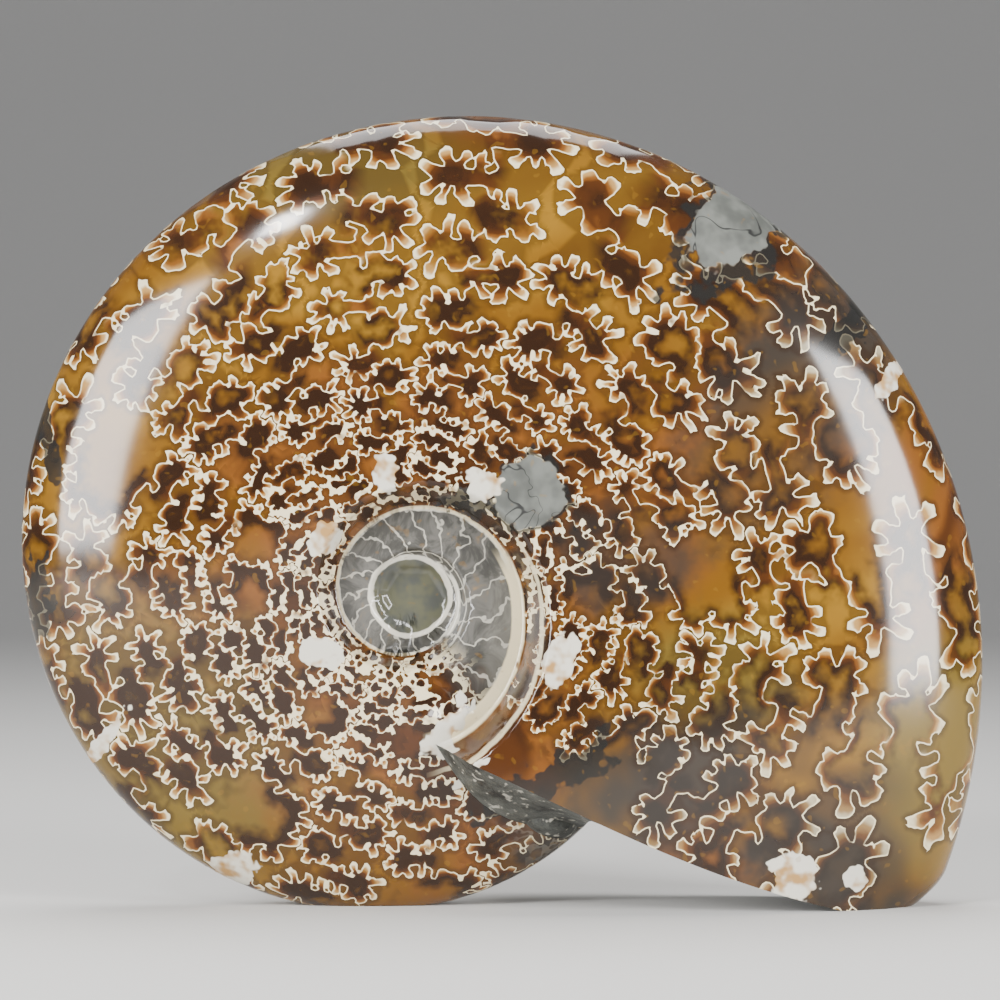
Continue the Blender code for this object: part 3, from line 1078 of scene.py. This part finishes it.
def linked(name: str, points: Sequence, faces: Sequence) -> bpy.types.Object:
    """A new mesh object in the scene."""
    mesh = bpy.data.meshes.new(name)
    mesh.from_pydata(points, [], faces)
    piece = bpy.data.objects.new(name, mesh)
    bpy.context.scene.collection.objects.link(piece)
    return piece


def store(mesh: bpy.types.Mesh, name: str, domain: str, values: Array) -> None:
    """Writes one number for each point or face corner."""
    layer = mesh.attributes.new(name, "FLOAT", domain)
    layer.data.foreach_set("value", values.reshape(-1).astype(np.float32))


def runs(keep: Array) -> list[Array]:
    """The index ranges over which a mask holds."""
    places = np.nonzero(keep)[0]
    if not len(places):
        return []
    return np.split(places, np.nonzero(np.diff(places) > 1)[0] + 1)


def thinned(points: Array, gap: float) -> Array:
    """Points with near duplicates left out, by a square grid."""
    cells = np.round(points / gap).astype(np.int64)
    _, first = np.unique(cells, axis=0, return_index=True)
    return points[np.sort(first)]


@dataclass
class AperturePiece:
    """The broken stone face between the lip's edge and its foot, on both sides of the middle plane."""

    coil: Coil
    opening: Opening
    rows: int = 12
    hollow: float = 1.5 * MM
    weld_reach: float = 0.005 * MM

    def build(self) -> bpy.types.Object:
        """Makes the object from rows that run from the foot to the edge."""
        coil = self.coil
        angle, part = self.opening.edge()
        edge = coil.surface(angle, coil.developed_radius(angle, part))
        edge[-1, 1] = 0.0
        angle, part = self.opening.foot()
        foot = coil.surface(angle, coil.developed_radius(angle, part))
        foot[-1, 1] = 0.0
        wall = int(np.argmin(np.abs(edge[:, 0] - foot[-1, 0])))
        low = np.empty_like(edge)
        places = np.linspace(0, len(foot) - 1, wall + 1)
        for axis in range(3):
            low[: wall + 1, axis] = np.interp(places, np.arange(len(foot)), foot[:, axis])
        sunk = np.array([-self.hollow / 2, 0, self.hollow])
        low[wall + 1 :] = edge[wall + 1 :] * np.array([1, 0, 1]) + sunk
        low[-1] = edge[-1]
        share = np.linspace(0.0, 1.0, self.rows + 1)[:, None, None]
        grid = low[None] * (1 - share) + edge[None] * share
        grid[..., 2] = np.maximum(grid[..., 2], 0.0)
        count = len(edge)
        points = np.concatenate([grid, grid * np.array([1, -1, 1])]).reshape(-1, 3)
        faces = []
        for side in (0, 1):
            for i in range(self.rows):
                for j in range(count - 1):
                    a = side * grid.shape[0] * count + i * count + j
                    ring = (a, a + 1, a + count + 1, a + count)
                    faces.append(ring if side == 0 else ring[::-1])
        piece = linked("aperture_face", points.tolist(), faces)
        weld(piece, self.weld_reach)
        return piece


def only(piece: bpy.types.Object) -> None:
    """Selects one object and makes it active."""
    bpy.ops.object.select_all(action="DESELECT")
    piece.select_set(True)
    bpy.context.view_layer.objects.active = piece


def weld(piece: bpy.types.Object, distance: float) -> None:
    """Merges doubled points and turns every face outwards."""
    only(piece)
    bpy.ops.object.mode_set(mode="EDIT")
    bpy.ops.mesh.select_all(action="SELECT")
    bpy.ops.mesh.remove_doubles(threshold=distance)
    bpy.ops.mesh.normals_make_consistent(inside=False)
    bpy.ops.object.mode_set(mode="OBJECT")
    bpy.ops.object.shade_smooth()


@dataclass(frozen=True)
class Number:
    """A number in a shader, on which arithmetic makes math nodes."""

    graph: "Graph"
    socket: bpy.types.NodeSocket

    def __add__(self, other: object) -> "Number":
        return self.graph.math("ADD", self, other)

    def __sub__(self, other: object) -> "Number":
        return self.graph.math("SUBTRACT", self, other)

    def __rsub__(self, other: object) -> "Number":
        return self.graph.math("SUBTRACT", other, self)

    def __mul__(self, other: object) -> "Number":
        return self.graph.math("MULTIPLY", self, other)

    def __truediv__(self, other: object) -> "Number":
        return self.graph.math("DIVIDE", self, other)

    def __abs__(self) -> "Number":
        return self.graph.math("ABSOLUTE", self)


@dataclass(frozen=True)
class Grain:
    """A noise: its cells in a metre, its finer layers, their strength and its warp."""

    scale: float
    detail: float = 2.0
    rough: float = 0.6
    warp: float = 0.0


@dataclass(frozen=True)
class Band:
    """Where a soft mask begins, where it is full, and how strong it is there."""

    start: float
    full: float
    strength: float = 1.0


@dataclass(frozen=True)
class Spots:
    """A layer of patches: how ragged and how soft its outlines are, and how strong it is."""

    ragged: float
    soft: float
    strength: float = 1.0


class Graph:
    """A material and a short way to write its nodes."""

    def __init__(self, name: str) -> None:
        self.material = bpy.data.materials.new(name)
        self.material.use_nodes = True
        self.tree = self.material.node_tree
        self.shader = self.tree.nodes["Principled BSDF"]
        self.place = self.node("ShaderNodeTexCoord").outputs["Object"]

    def node(self, kind: str, inputs: dict | None = None, **settings: object) -> bpy.types.Node:
        """Adds a node.

        Args:
            kind: Blender's name for it.
            inputs: what each input, by name or number, is linked or set to.
            settings: the node's own properties.

        Returns:
            The node.
        """
        made = self.tree.nodes.new(kind)
        for name, value in settings.items():
            setattr(made, name, value)
        for name, value in (inputs or {}).items():
            self.put(made.inputs[name], value)
        return made

    def put(self, target: bpy.types.NodeSocket, value: object) -> None:
        """Links a socket or sets a constant."""
        if isinstance(value, Number):
            value = value.socket
        if isinstance(value, bpy.types.NodeSocket):
            self.tree.links.new(value, target)
        else:
            target.default_value = (*value, 1.0) if target.type == "RGBA" else value

    def math(self, operation: str, *values: object, clamp: bool = False) -> Number:
        """A math node's result."""
        made = self.node("ShaderNodeMath", dict(enumerate(values)), operation=operation, use_clamp=clamp)
        return Number(self, made.outputs[0])

    def most(self, first: Number, second: Number) -> Number:
        """The greater of two numbers."""
        return self.math("MAXIMUM", first, second)

    def mask(self, value: Number, band: Band) -> Number:
        """0 where the value is at the band's start, and the band's strength where it is full."""
        inputs = {"Value": value, "From Min": band.start, "From Max": band.full, "To Max": band.strength}
        made = self.node("ShaderNodeMapRange", inputs, interpolation_type="SMOOTHSTEP")
        return Number(self, made.outputs["Result"])

    def mix(self, share: Number, first: object, second: object) -> bpy.types.NodeSocket:
        """A mixed colour."""
        return self.node("ShaderNodeMix", {"Factor": share, 6: first, 7: second}, data_type="RGBA").outputs[2]

    def value(self, name: str) -> Number:
        """A number kept in the mesh."""
        return Number(self, self.node("ShaderNodeAttribute", attribute_name=name).outputs["Fac"])

    def noise(self, grain: Grain) -> Number:
        """Noise between about 0.3 and 0.7."""
        inputs = {
            "Vector": self.place,
            "Scale": grain.scale,
            "Detail": grain.detail,
            "Roughness": grain.rough,
            "Distortion": grain.warp,
        }
        return Number(self, self.node("ShaderNodeTexNoise", inputs).outputs["Fac"])

    def ramp(self, value: Number, stops: Sequence[tuple[float, Colour]]) -> bpy.types.NodeSocket:
        """A colour ramp."""
        made = self.node("ShaderNodeValToRGB", {"Fac": value})
        made.color_ramp.interpolation = "EASE"
        points = made.color_ramp.elements
        for point, (place, colour) in zip(points, (stops[0], stops[-1])):
            point.position, point.color = place, (*colour, 1.0)
        for place, colour in stops[1:-1]:
            points.new(place).color = (*colour, 1.0)
        return made.outputs["Color"]

    def surface(self, inputs: dict[str, object]) -> None:
        """Links or sets inputs of the shader."""
        for name, value in inputs.items():
            self.put(self.shader.inputs[name], value)

    def bump(self, grain: Grain, strength: float, distance: float) -> None:
        """Makes the surface uneven."""
        inputs = {"Height": self.noise(grain), "Strength": strength, "Distance": distance}
        self.surface({"Normal": self.node("ShaderNodeBump", inputs).outputs["Normal"]})


@dataclass(frozen=True)
class StoneColours:
    """Linear colours of the stone."""

    cream: Colour = (0.72, 0.62, 0.40)
    pale: Colour = (0.36, 0.20, 0.060)
    orange: Colour = (0.150, 0.052, 0.008)
    russet: Colour = (0.055, 0.017, 0.003)
    amber: Colour = (0.130, 0.055, 0.004)
    honey: Colour = (0.215, 0.108, 0.009)
    brown: Colour = (0.019, 0.007, 0.002)
    olive: Colour = (0.105, 0.080, 0.015)
    slate: Colour = (0.022, 0.021, 0.018)
    dark: Colour = (0.012, 0.012, 0.011)
    smoke: Colour = (0.060, 0.058, 0.052)
    grey: Colour = (0.115, 0.110, 0.098)
    matrix: Colour = (0.125, 0.130, 0.115)
    matrix_dark: Colour = (0.065, 0.068, 0.060)
    lichen: Colour = (0.095, 0.095, 0.062)
    white: Colour = (0.60, 0.57, 0.48)


@dataclass(frozen=True)
class StoneFinish:
    """How glossy and how even the polished stone is, and the noises that its layers share."""

    roughness: float = 0.11
    dulled: float = 0.32
    uneven: Grain = Grain(90.0)
    unevenness: float = 0.10
    depth: float = 0.2 * MM
    broad: Grain = Grain(24.0, 3.0, 0.6, 0.9)
    fine: Grain = Grain(330.0)
    waves: Grain = Grain(170.0, 3.0, 0.65)


@dataclass(frozen=True)
class BodyLook:
    """The zones of colour between the leaves."""

    stops: tuple[float, ...] = (0.33, 0.43, 0.53, 0.70)
    honey: Spots = Spots(0.6, 0.5, 0.09)
    russet: Spots = Spots(0.6, 0.5, -0.10)
    olive: Spots = Spots(0.6, 0.5, 0.7)
    slate: Spots = Spots(0.8, 0.45)
    slate_gaps: Band = Band(0.70, 0.48)
    slate_strength: float = 0.92


@dataclass(frozen=True)
class LeafLook:
    """How the leaves are coloured. Distances are in millimetres from the line."""

    stops: tuple[float, ...] = (0.34, 0.47, 0.62, 0.72, 0.90)
    fine: float = 0.20
    away: float = 0.12
    mottling: float = 0.30
    slate: float = 0.6
    end: Band = Band(0.7, 2.6)
    end_unevenness: float = -5.0
    beside: Band = Band(1.0, 0.1, 0.6)
    line: Band = Band(0.165, 0.080)
    line_gaps: Band = Band(0.26, 0.44)
    widening: Band = Band(0.02, 0.55, 0.64)
    seam_width: float = 0.36
    back_width: float = 0.45


@dataclass(frozen=True)
class UmbilicusLook:
    """The grey middle of the coil. Places across a whorl are in turns, outwards from its seam."""

    glass: Grain = Grain(150.0, 4.0, 0.7, 1.2)
    glass_stops: tuple[float, ...] = (0.30, 0.46, 0.60, 0.80)
    unevenness: float = 0.16
    chambers: float = 19.0
    slant: float = 1.4
    wiggle: Grain = Grain(420.0, 2.0, 0.5)
    wiggling: float = 1.5
    suture: Band = Band(0.075, 0.035, 0.55)
    ridge: Band = Band(0.10, 0.06)
    ridge_below: Band = Band(0.955, 0.975)
    line: float = 0.20
    line_width: Band = Band(0.018, 0.008, 0.7)
    gaps: Band = Band(0.30, 0.50)
    cloud: Band = Band(0.45, 0.80, 0.35)
    cloud_gaps: Band = Band(0.40, 0.62)
    disc: Band = Band(5.0 * MM, 4.8 * MM)
    disc_rim: Band = Band(5.7 * MM, 5.5 * MM)
    disc_stops: tuple[float, ...] = (0.35, 0.60, 0.80)
    disc_unevenness: float = 1.2 * MM


@dataclass(frozen=True)
class SeamLook:
    """The cream marks along the last turn's seam, in turns round the axis and outwards from the seam.

    The seam's flare sets in between two shares of its radius.
    """

    unevenness: float = 0.045
    wrap: float = 0.235
    begin: Band = Band(-0.09, -0.03)
    end: Band = Band(0.24, 0.20)
    ridge: float = -0.035
    ridge_width: Band = Band(0.085, 0.060)
    line: float = 0.20
    line_width: Band = Band(0.022, 0.010, 0.8)
    edge: Band = Band(0.030, 0.012, 0.8)
    reach: float = 0.6
    gaps: Band = Band(0.24, 0.38)
    flare: tuple[float, float] = (0.8, 0.95)


@dataclass(frozen=True)
class PatchLook:
    """Matrix, calcite and dark rims on the flanks; one white calcite spot is a painted reflection on the
    umbilical shoulder.
    """

    dark: Spots = Spots(2.2, 0.08, 0.88)
    matrix: Spots = Spots(0.8, 0.04)
    margin: Spots = Spots(1.8, 0.10)
    margin_strength: float = 0.9
    matrix_grain: Band = Band(0.3, 0.7)
    crack: Grain = Grain(120.0, 2.0, 0.5, 0.8)
    crack_width: Band = Band(0.010, 0.002)
    chalk_and_sheen: Spots = Spots(2.2, 0.06)
    chalk_and_sheen_grain: Band = Band(0.35, 0.55)
    fleck: Grain = Grain(900.0, 0.0, 0.5)
    flecks: Band = Band(0.72, 0.80, 0.25)
    grain: float = 0.9


class StoneMaterial:
    """The polished flank: amber with leaf-shaped sutures, grey glass in the umbilicus, matrix, and white
    calcite spots of which one is a painted reflection.
    """

    def __init__(self, coil: Coil, colours: StoneColours) -> None:
        self.coil = coil
        self.colours = colours
        self.finish = StoneFinish()
        self.patch_look = PatchLook()
        self.seam_look = SeamLook()
        self.graph = Graph("polished_stone")
        self.broad = self.graph.noise(self.finish.broad)
        self.fine = self.graph.noise(self.finish.fine)
        self.waves = self.graph.noise(self.finish.waves) - 0.5

    def build(self) -> bpy.types.Material:
        """Links the layers into the shader."""
        graph, finish = self.graph, self.finish
        body, slate = self.body(BodyLook())
        colour = self.leaves(body, slate, LeafLook())
        colour = graph.mix(graph.value("inner"), colour, self.umbilicus(UmbilicusLook()))
        colour, dull = self.patches(self.seam(colour))
        graph.surface({"Base Color": colour, "Roughness": dull * finish.dulled + finish.roughness})
        graph.bump(finish.uneven, finish.unevenness, finish.depth)
        return graph.material

    def spots(self, layer: str, look: Spots) -> Number:
        """The mask of one kind of patch, with an outline that the noise makes ragged."""
        grain = (self.fine - 0.5) * self.patch_look.grain + self.waves
        edge = grain * look.ragged + self.graph.value(layer)
        return self.graph.mask(edge, Band(-look.soft, look.soft, look.strength))

    def body(self, look: BodyLook) -> tuple[bpy.types.NodeSocket, Number]:
        """The stone between the leaves, and how much of it is slate dark."""
        graph, colours = self.graph, self.colours
        shift = self.broad + self.spots("honey", look.honey) + self.spots("russet", look.russet)
        shades = (colours.russet, colours.orange, colours.amber, colours.honey)
        body = graph.ramp(shift, list(zip(look.stops, shades)))
        body = graph.mix(self.spots("olive", look.olive), body, colours.olive)
        slate = self.spots("slate", look.slate) * graph.mask(self.broad, look.slate_gaps)
        return graph.mix(slate * look.slate_strength, body, colours.slate), slate

    def leaves(self, body: bpy.types.NodeSocket, slate: Number, look: LeafLook) -> bpy.types.NodeSocket:
        """The leaves: a cream line, pale tips, russet and brown deeper in, and the body's colour beyond."""
        graph, colours = self.graph, self.colours
        away, leaf = graph.value("away"), graph.value("leaf")
        mottled = 0.5 - self.broad
        tone = (self.fine - 0.5) * look.fine + graph.value("deep") + away * look.away
        tone = tone + mottled * look.mottling
        shades = (colours.cream, colours.pale, colours.orange, colours.russet, colours.brown)
        inside = graph.ramp(tone, list(zip(look.stops, shades)))
        inside = graph.mix(slate * look.slate, inside, colours.slate)
        reach = (self.waves + mottled) * look.end_unevenness + away
        inside = graph.mix(graph.mask(reach, look.end), inside, body)
        beside = graph.mix(graph.mask(away, look.beside), body, colours.brown)
        colour = graph.mix(leaf, beside, inside)
        width = graph.mask(graph.value("across"), look.widening) + look.seam_width
        width = width * (leaf * (1 - look.back_width) + look.back_width)
        line = graph.mask(away / width, look.line) * graph.mask(self.fine, look.line_gaps)
        return graph.mix(line, colour, colours.cream)

    def coil_place(self) -> tuple[Number, Number, Number]:
        """Angle in turns, distance from the axis, and turns outwards from the last turn's seam."""
        graph, coil = self.graph, self.coil
        axis = (coil.axis[0], 0.0, coil.axis[1])
        arm = graph.node("ShaderNodeVectorMath", {0: graph.place, 1: axis}, operation="SUBTRACT")
        parts = graph.node("ShaderNodeSeparateXYZ", {0: arm.outputs[0]})
        x, z = (Number(graph, parts.outputs[name]) for name in "XZ")
        angle = graph.math("ARCTAN2", z * -1.0, x)
        radius = graph.math("SQRT", x * x + z * z)
        near, far = self.seam_look.flare
        flare = graph.mask(angle, Band(0.0, math.radians(coil.last), coil.seam_flare))
        flare = flare * graph.mask(radius, Band(near * coil.seam, far * coil.seam))
        grown = graph.math("LOGARITHM", radius / (flare * coil.seam + coil.seam), math.e)
        turns = grown / coil.seam_growth - angle
        return angle / math.tau, radius, turns / math.tau

    def umbilicus(self, look: UmbilicusLook) -> bpy.types.NodeSocket:
        """Grey glass with thin sutures and pale bands along the seams of the inner turns."""
        graph, colours = self.graph, self.colours
        angle, radius, turns = self.coil_place()
        across = graph.math("FRACT", turns + self.waves * look.unevenness)
        shades = (colours.slate, colours.smoke, colours.grey, colours.pale)
        colour = graph.ramp(graph.noise(look.glass), list(zip(look.glass_stops, shades)))
        bent = across * look.slant + angle * look.chambers + (graph.noise(look.wiggle) - 0.5) * look.wiggling
        suture = graph.mask(abs(graph.math("FRACT", bent) - 0.5), look.suture)
        ridge = graph.most(graph.mask(across, look.ridge), graph.mask(across, look.ridge_below))
        ridge = graph.most(ridge, graph.mask(abs(across - look.line), look.line_width))
        ridge = ridge * graph.mask(self.fine, look.gaps)
        cloud = graph.mask(across, look.cloud) * graph.mask(self.broad, look.cloud_gaps)
        rim = self.waves * look.disc_unevenness + radius
        for share in (suture, ridge, cloud, graph.mask(rim, look.disc_rim)):
            colour = graph.mix(share, colour, colours.white)
        shades = (colours.matrix_dark, colours.lichen, colours.grey)
        disc = graph.ramp(self.fine, list(zip(look.disc_stops, shades)))
        return graph.mix(graph.mask(rim, look.disc), colour, disc)

    def seam(self, colour: bpy.types.NodeSocket) -> bpy.types.NodeSocket:
        """The cream ridge on the last turn's seam, and the white line on its shoulder."""
        graph, look = self.graph, self.seam_look
        angle, _, turns = self.coil_place()
        turns = self.waves * look.unevenness + turns + graph.math("GREATER_THAN", angle, look.wrap)
        shown = graph.mask(angle, look.begin) * graph.mask(angle, look.end)
        ridge = graph.mask(abs(turns - look.ridge), look.ridge_width) * shown
        line = graph.mask(abs(turns - look.line), look.line_width) * shown
        mask = graph.most(graph.most(ridge, line), graph.mask(abs(turns), look.edge))
        mask = mask * graph.math("LESS_THAN", abs(turns), look.reach) * graph.mask(self.fine, look.gaps)
        return graph.mix(mask, colour, self.colours.cream)

    def patches(self, colour: bpy.types.NodeSocket) -> tuple[bpy.types.NodeSocket, Number]:
        """Dark rims, grey matrix and white calcite, one spot of it a painted reflection, over a colour, and
        how dull they are.
        """
        graph, colours, look = self.graph, self.colours, self.patch_look
        colour = graph.mix(self.spots("dark", look.dark), colour, colours.dark)
        grey = self.spots("matrix", look.matrix)
        margin = graph.math("SUBTRACT", self.spots("margin", look.margin), grey, clamp=True)
        colour = graph.mix(margin * look.margin_strength, colour, colours.dark)
        stone = graph.mix(graph.mask(self.fine, look.matrix_grain), colours.matrix_dark, colours.matrix)
        crack = graph.mask(abs(graph.noise(look.crack) - 0.5), look.crack_width)
        colour = graph.mix(grey, colour, graph.mix(crack, stone, colours.dark))
        # mask of the white calcite spots and of one painted reflection on the umbilical shoulder
        white = self.spots("chalk_and_sheen", look.chalk_and_sheen)
        chalk_and_sheen = graph.mix(graph.mask(self.fine, look.chalk_and_sheen_grain), colours.pale, colours.white)
        colour = graph.mix(white, colour, chalk_and_sheen)
        colour = graph.mix(graph.mask(graph.noise(look.fleck), look.flecks), colour, colours.honey)
        return colour, graph.most(white, grey)


@dataclass(frozen=True)
class MatrixLook:
    """The dull grey stone."""

    coarse: Grain = Grain(160.0, 5.0, 0.7, 0.4)
    stops: tuple[float, ...] = (0.32, 0.50, 0.68)
    grain: Grain = Grain(700.0)
    grains: Band = Band(0.60, 0.70, 0.6)
    roughness: float = 0.55
    rough: Grain = Grain(350.0, 5.0, 0.7)
    unevenness: float = 0.7
    depth: float = 0.6 * MM

    def build(self, colours: StoneColours) -> bpy.types.Material:
        """Makes the material of the aperture and the lump."""
        graph = Graph("matrix_stone")
        shades = (colours.dark, colours.matrix_dark, colours.matrix)
        colour = graph.ramp(graph.noise(self.coarse), list(zip(self.stops, shades)))
        colour = graph.mix(graph.mask(graph.noise(self.grain), self.grains), colour, colours.white)
        graph.surface({"Base Color": colour, "Roughness": self.roughness})
        graph.bump(self.rough, self.unevenness, self.depth)
        return graph.material


@dataclass(frozen=True)
class Lamp:
    """A soft box that points at the middle of the stone."""

    name: str
    place: tuple[float, float, float]
    size: tuple[float, float]
    power: float

    def build(self, aim: Vector) -> None:
        """Makes the light."""
        bpy.ops.object.light_add(type="AREA", location=self.place)
        lamp = bpy.context.object
        lamp.name = self.name
        lamp.data.shape = "RECTANGLE"
        lamp.data.size, lamp.data.size_y = self.size
        lamp.data.energy = self.power
        lamp.rotation_euler = (aim - Vector(self.place)).to_track_quat("-Z", "Y").to_euler()


@dataclass(frozen=True)
class Studio:
    """The pale floor, the lights, the room and the camera."""

    half_width: float = 3.0
    front: float = -2.5
    bend: float = 0.9
    top: float = 3.2
    bend_steps: int = 10
    floor_colour: Colour = (0.60, 0.59, 0.57)
    floor_roughness: float = 0.8
    floor_shine: float = 0.2
    aim: tuple[float, float, float] = (0.0, 0.0, 0.05)
    lamps: tuple[Lamp, ...] = (
        Lamp("key_left", (-0.34, -0.34, 0.16), (0.20, 0.28), 4.4),
        Lamp("key_right", (0.36, -0.30, 0.14), (0.16, 0.28), 4.0),
        Lamp("small_left", (-0.22, -0.45, 0.42), (0.05, 0.05), 0.8),
        Lamp("top", (0.0, 0.15, 0.6), (0.4, 0.4), 4.0),
    )
    lens: float = 161.0
    nearest: float = 0.01
    camera_place: tuple[float, float, float] = (-0.0003, -0.60, 0.0600)
    camera_aim: tuple[float, float, float] = (-0.0003, 0.0, 0.0543)
    room_colour: Colour = (0.93, 0.95, 1.0)
    room_light: float = 0.34

    def floor(self) -> bpy.types.Object:
        """A pale floor that sweeps up into the backdrop."""
        turns = [math.pi / 2 * i / self.bend_steps for i in range(self.bend_steps + 1)]
        profile = [(self.front, 0.0)]
        profile += [(self.bend * (1 + math.sin(t)), self.bend * (1 - math.cos(t))) for t in turns]
        profile.append((2 * self.bend, self.top))
        points = [(x, y, z) for y, z in profile for x in (-self.half_width, self.half_width)]
        faces = [(i, i + 1, i + 3, i + 2) for i in range(0, len(points) - 2, 2)]
        floor = linked("sweep", points, faces)
        only(floor)
        bpy.ops.object.shade_smooth()
        graph = Graph("sweep")
        graph.surface({"Base Color": self.floor_colour, "Roughness": self.floor_roughness})
        graph.surface({"Specular IOR Level": self.floor_shine})
        floor.data.materials.append(graph.material)
        return floor

    def light(self) -> None:
        """The soft boxes and a soft even room."""
        for lamp in self.lamps:
            lamp.build(Vector(self.aim))
        world = bpy.data.worlds.new("room")
        bpy.context.scene.world = world
        world.use_nodes = True
        back = world.node_tree.nodes["Background"]
        back.inputs["Color"].default_value = (*self.room_colour, 1.0)
        back.inputs["Strength"].default_value = self.room_light

    def camera(self) -> None:
        """The photo's view: nearly level and square to the flank."""
        data = bpy.data.cameras.new("camera")
        data.lens = self.lens
        data.clip_start = self.nearest
        camera = bpy.data.objects.new("camera", data)
        bpy.context.scene.collection.objects.link(camera)
        camera.location = self.camera_place
        aim = Vector(self.camera_aim) - camera.location
        camera.rotation_euler = aim.to_track_quat("-Z", "Y").to_euler()
        bpy.context.scene.camera = camera


@dataclass(frozen=True)
class LumpPiece:
    """The dark lump of matrix left under the lip."""

    place: tuple[float, float, float] = (5.4 * MM, 0.0, 12.4 * MM)
    size: tuple[float, float, float] = (10.5 * MM, 14.6 * MM, 6.4 * MM)
    tilt: float = 24.0
    fineness: int = 5

    def build(self) -> bpy.types.Object:
        """Makes the lump."""
        bpy.ops.mesh.primitive_ico_sphere_add(
            subdivisions=self.fineness,
            radius=0.5,
            location=self.place,
            rotation=(0, math.radians(self.tilt), 0),
            scale=self.size,
        )
        piece = bpy.context.object
        piece.name = "matrix_lump"
        bpy.ops.object.transform_apply(location=True, rotation=True, scale=True)
        bpy.ops.object.shade_smooth()
        return piece


def main() -> None:
    """Builds the scene in order."""
    logging.basicConfig(level=logging.INFO)
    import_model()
    coil = Coil()
    opening = Opening(coil)
    sutures = Sutures(coil)
    sutures.build()
    colours = StoneColours()
    stone = StoneMaterial(coil, colours).build()
    matrix = MatrixLook().build(colours)
    flanks = FlankPiece(FlankMesh(coil, opening, sutures)).build()
    face = AperturePiece(coil, opening).build()
    lump = LumpPiece().build()
    for piece, material in ((flanks, stone), (face, matrix), (lump, matrix)):
        piece.data.materials.append(material)
        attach(piece, "root")
        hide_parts("ammonite")
    studio = Studio()
    studio.floor()
    studio.light()
    studio.camera()


if __name__ == "__main__":
    main()
